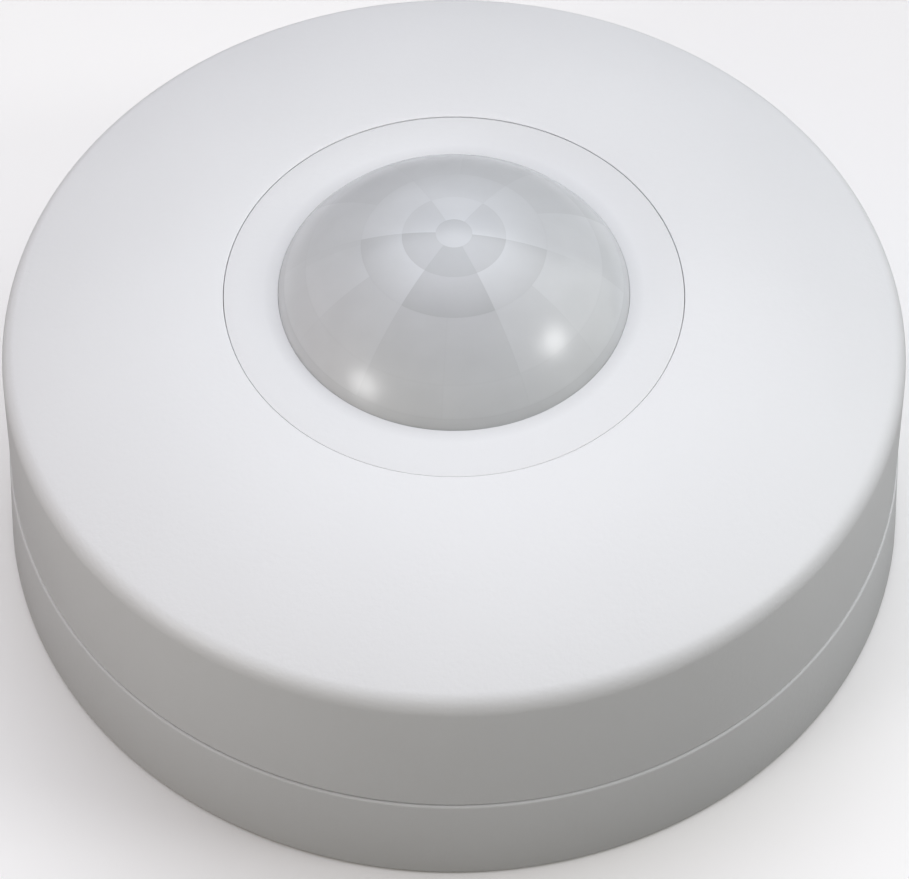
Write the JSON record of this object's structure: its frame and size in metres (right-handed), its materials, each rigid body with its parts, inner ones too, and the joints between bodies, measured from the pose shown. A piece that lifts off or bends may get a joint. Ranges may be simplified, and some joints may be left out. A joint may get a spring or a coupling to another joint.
{
  "type": "ceiling motion sensor",
  "caption": "Round surface-mount ceiling motion sensor: drum-shaped white housing with a domed translucent lens, wired terminals and adjusters under a twist-off lens ring.",
  "frame": {"origin": "centre of the back face, where the base meets the ceiling or wall", "axes": "+Z along the lens axis, away from the ceiling; +X along the two fixing slots; -Y is the side the picture looks from"},
  "size_m": [0.115, 0.115, 0.0529],
  "materials": {
    "white_abs": "fine satin moulding",
    "lens_film": "milky, slightly translucent",
    "black_plastic": "satin",
    "grey_plastic": "satin",
    "rubber": "matt",
    "board_green": "solder-masked circuit board",
    "steel": "zinc plated",
    "brass": "plain",
    "tin": "tinned",
    "copper": "enamelled copper wire, wound",
    "blue_plastic": "satin",
    "yellow_epoxy": "satin",
    "red_led": "clear tinted",
    "brown_wire": "PVC insulation",
    "blue_wire": "PVC insulation",
    "black_wire": "PVC insulation",
    "dark_glass": "infrared filter, opaque to the eye",
    "cell": "clear tinted"
  },
  "bodies": {
    "base": {"base_shell": "white_abs", "cable_grommet": "rubber", "terminal_block": "grey_plastic", "socket_block": "black_plastic", "terminal_block_screw_1": "steel", "terminal_block_screw_2": "steel", "terminal_bar_live": "tin", "terminal_bar_neutral": "tin", "terminal_bar_load": "tin", "wire_live": "brown_wire", "wire_neutral": "blue_wire", "wire_load": "black_wire"},
    "cover": {"cover_shell": "white_abs", "power_board": "board_green", "sensor_board": "board_green", "board_screw_1": "steel", "board_screw_2": "steel", "board_screw_3": "steel", "plug_body": "black_plastic", "plug_blade_live": "tin", "plug_blade_neutral": "tin", "plug_blade_load": "tin", "relay_case": "blue_plastic", "relay_bobbin": "grey_plastic", "relay_coil": "copper", "relay_yoke": "steel", "film_capacitor": "yellow_epoxy", "smoothing_capacitor": "black_plastic", "filter_capacitor": "black_plastic", "varistor": "blue_plastic", "fuse": "black_plastic", "bridge_rectifier": "black_plastic", "dropper_resistor": "grey_plastic", "board_header": "black_plastic", "control_chip": "black_plastic", "light_sensor": "cell", "indicator_lamp": "red_led", "heat_sensor_collar": "white_abs", "heat_sensor_can": "steel", "heat_sensor_window": "dark_glass", "trimmer_light": "blue_plastic", "trimmer_time": "blue_plastic", "trimmer_range": "blue_plastic"},
    "lens": {"lens_dome": "lens_film", "lens_carrier": "white_abs"},
    "ring": {"lens_ring": "white_abs"},
    "knob_light": {"knob_light": "grey_plastic"},
    "knob_time": {"knob_time": "grey_plastic"},
    "knob_range": {"knob_range": "grey_plastic"},
    "cover_screw_seal_left": {"cover_screw_seal_left": "rubber"},
    "cover_screw_left": {"cover_screw_left": "steel"},
    "cover_screw_seal_right": {"cover_screw_seal_right": "rubber"},
    "cover_screw_right": {"cover_screw_right": "steel"},
    "terminal_screw_live": {"terminal_screw_live": "steel"},
    "terminal_clamp_live": {"terminal_clamp_live": "brass"},
    "terminal_screw_neutral": {"terminal_screw_neutral": "steel"},
    "terminal_clamp_neutral": {"terminal_clamp_neutral": "brass"},
    "terminal_screw_load": {"terminal_screw_load": "steel"},
    "terminal_clamp_load": {"terminal_clamp_load": "brass"},
    "relay_armature": {"relay_armature": "steel"}
  },
  "joints": [
    {"name": "cover_lift", "type": "slide", "parent": "base", "child": "cover", "axis": [0, 0, 1], "range_m": [0, 0.08]},
    {"name": "lens_lift", "type": "slide", "parent": "cover", "child": "lens", "axis": [0, 0, 1], "range_m": [0, 0.04]},
    {"name": "ring_twist", "type": "hinge", "parent": "lens", "child": "ring", "pos_m": [0, 0, 0], "axis": [0, 0, 1], "range_deg": [-24, 0]},
    {"name": "knob_light_turn", "type": "hinge", "parent": "cover", "child": "knob_light", "pos_m": [0.01689, 0.00975, 0.0273], "axis": [0, 0, 1], "range_deg": [-135, 135]},
    {"name": "knob_time_turn", "type": "hinge", "parent": "cover", "child": "knob_time", "pos_m": [0, 0.0195, 0.0273], "axis": [0, 0, 1], "range_deg": [-135, 135]},
    {"name": "knob_range_turn", "type": "hinge", "parent": "cover", "child": "knob_range", "pos_m": [-0.01689, -0.00975, 0.0273], "axis": [0, 0, 1], "range_deg": [-135, 135]},
    {"name": "cover_screw_rise_left", "type": "slide", "parent": "cover", "child": "cover_screw_seal_left", "axis": [0, 0, 1], "range_m": [0, 0.0048]},
    {"name": "cover_screw_turn_left", "type": "hinge", "parent": "cover_screw_seal_left", "child": "cover_screw_left", "pos_m": [-0.01905, 0.011, 0.031], "axis": [0, 0, 1], "range_deg": [0, 1440]},
    {"name": "cover_screw_rise_right", "type": "slide", "parent": "cover", "child": "cover_screw_seal_right", "axis": [0, 0, 1], "range_m": [0, 0.0048]},
    {"name": "cover_screw_turn_right", "type": "hinge", "parent": "cover_screw_seal_right", "child": "cover_screw_right", "pos_m": [0.01905, -0.011, 0.031], "axis": [0, 0, 1], "range_deg": [0, 1440]},
    {"name": "terminal_screw_turn_live", "type": "hinge", "parent": "base", "child": "terminal_screw_live", "pos_m": [-0.0105, 0.0345, 0.0047], "axis": [0, 0, 1], "range_deg": [-1080, 0]},
    {"name": "terminal_clamp_rise_live", "type": "slide", "parent": "base", "child": "terminal_clamp_live", "axis": [0, 0, 1], "range_m": [0, 0.0015]},
    {"name": "terminal_screw_turn_neutral", "type": "hinge", "parent": "base", "child": "terminal_screw_neutral", "pos_m": [0, 0.0345, 0.0047], "axis": [0, 0, 1], "range_deg": [-1080, 0]},
    {"name": "terminal_clamp_rise_neutral", "type": "slide", "parent": "base", "child": "terminal_clamp_neutral", "axis": [0, 0, 1], "range_m": [0, 0.0015]},
    {"name": "terminal_screw_turn_load", "type": "hinge", "parent": "base", "child": "terminal_screw_load", "pos_m": [0.0105, 0.0345, 0.0047], "axis": [0, 0, 1], "range_deg": [-1080, 0]},
    {"name": "terminal_clamp_rise_load", "type": "slide", "parent": "base", "child": "terminal_clamp_load", "axis": [0, 0, 1], "range_m": [0, 0.0015]},
    {"name": "relay_armature_tilt", "type": "hinge", "parent": "cover", "child": "relay_armature", "pos_m": [0.0052, -0.0387, 0.0304], "axis": [0, 1, 0], "range_deg": [-3.5, 0]}
  ],
  "couplings": [
    {"joint": "cover_screw_turn_left", "follows": "cover_screw_rise_left", "rad_per_m": 5235.9},
    {"joint": "cover_screw_turn_right", "follows": "cover_screw_rise_right", "rad_per_m": 5235.9},
    {"joint": "terminal_screw_turn_live", "follows": "terminal_clamp_rise_live", "rad_per_m": -12566},
    {"joint": "terminal_screw_turn_neutral", "follows": "terminal_clamp_rise_neutral", "rad_per_m": -12566},
    {"joint": "terminal_screw_turn_load", "follows": "terminal_clamp_rise_load", "rad_per_m": -12566}
  ]
}
